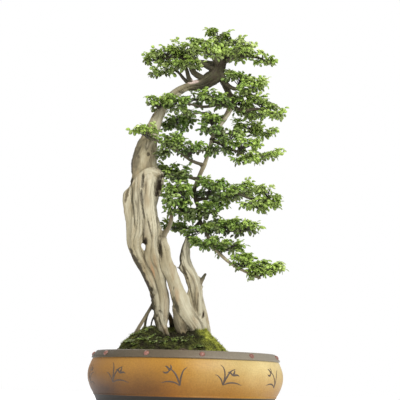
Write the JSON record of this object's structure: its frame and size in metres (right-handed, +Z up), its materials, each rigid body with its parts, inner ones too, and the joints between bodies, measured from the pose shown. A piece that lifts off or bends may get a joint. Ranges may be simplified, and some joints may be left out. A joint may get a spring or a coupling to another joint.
{
  "type": "hupeh ash bonsai",
  "caption": "Old deciduous bonsai with a weathered multi-legged trunk and layered sprays of small compound leaves, in a mossy mound in a round studded clay drum pot.",
  "frame": {"origin": "centre of the pot's underside, on the surface that the pot stands on", "axes": "+Z up the tree, -Y towards the tree's best side, +X to the right as seen from that side"},
  "size_m": [0.5503, 0.538, 1.0873],
  "materials": {
    "clay": "unglazed, softly burnished",
    "drain_net": "matt",
    "soil": "matt, grainy",
    "moss": "matt, soft",
    "weathered_wood": "weathered, grained",
    "foliage": "satin leaf"
  },
  "bodies": {
    "root": {"pot": "clay", "drain_net_1": "drain_net", "drain_net_2": "drain_net", "drain_net_3": "drain_net", "soil": "soil", "moss": "moss", "tree_wood": "weathered_wood", "spray_crown_apex": "foliage", "spray_crown_apex_right": "foliage", "spray_crown_apex_left": "foliage", "spray_crown_left_inner": "foliage", "spray_crown_left_back": "foliage", "spray_crown_left_tip": "foliage", "spray_crown_left_mid": "foliage", "spray_crown_right_inner": "foliage", "spray_crown_right_tip": "foliage", "spray_crown_front": "foliage", "spray_crown_back": "foliage", "spray_crown_front_right": "foliage", "spray_left_low_front": "foliage", "spray_left_low_back": "foliage", "spray_right_upper_tip": "foliage", "spray_right_upper_inner": "foliage", "spray_mid_right_tip": "foliage", "spray_mid_right_outer": "foliage", "spray_mid_right_inner": "foliage", "spray_mid_right_back": "foliage", "spray_mid_centre": "foliage", "spray_mid_left": "foliage", "spray_mid_back": "foliage", "spray_trunk_twig": "foliage", "spray_centre_left": "foliage", "spray_centre": "foliage", "spray_cross_left": "foliage", "spray_cross_mid": "foliage", "spray_cross_right": "foliage", "spray_right_mid_tip": "foliage", "spray_right_mid_outer": "foliage", "spray_right_mid_inner": "foliage", "spray_right_mid_under": "foliage", "spray_right_back": "foliage", "spray_left_mid_tip": "foliage", "spray_left_mid_inner": "foliage", "spray_left_mid_front": "foliage", "spray_right_low_inner": "foliage", "spray_right_low_mid": "foliage", "spray_right_low_tip": "foliage", "spray_right_low_under": "foliage", "spray_right_low_hanging": "foliage", "spray_right_low_back": "foliage", "spray_low_left_front": "foliage", "spray_low_left_back": "foliage", "spray_low_right_inner": "foliage", "spray_low_right_tip": "foliage", "spray_low_inner": "foliage", "spray_low_back": "foliage", "spray_low_centre": "foliage", "spray_low_bough_inner": "foliage", "spray_low_bough_outer": "foliage", "spray_low_bough_tip": "foliage"}
  },
  "joints": []
}
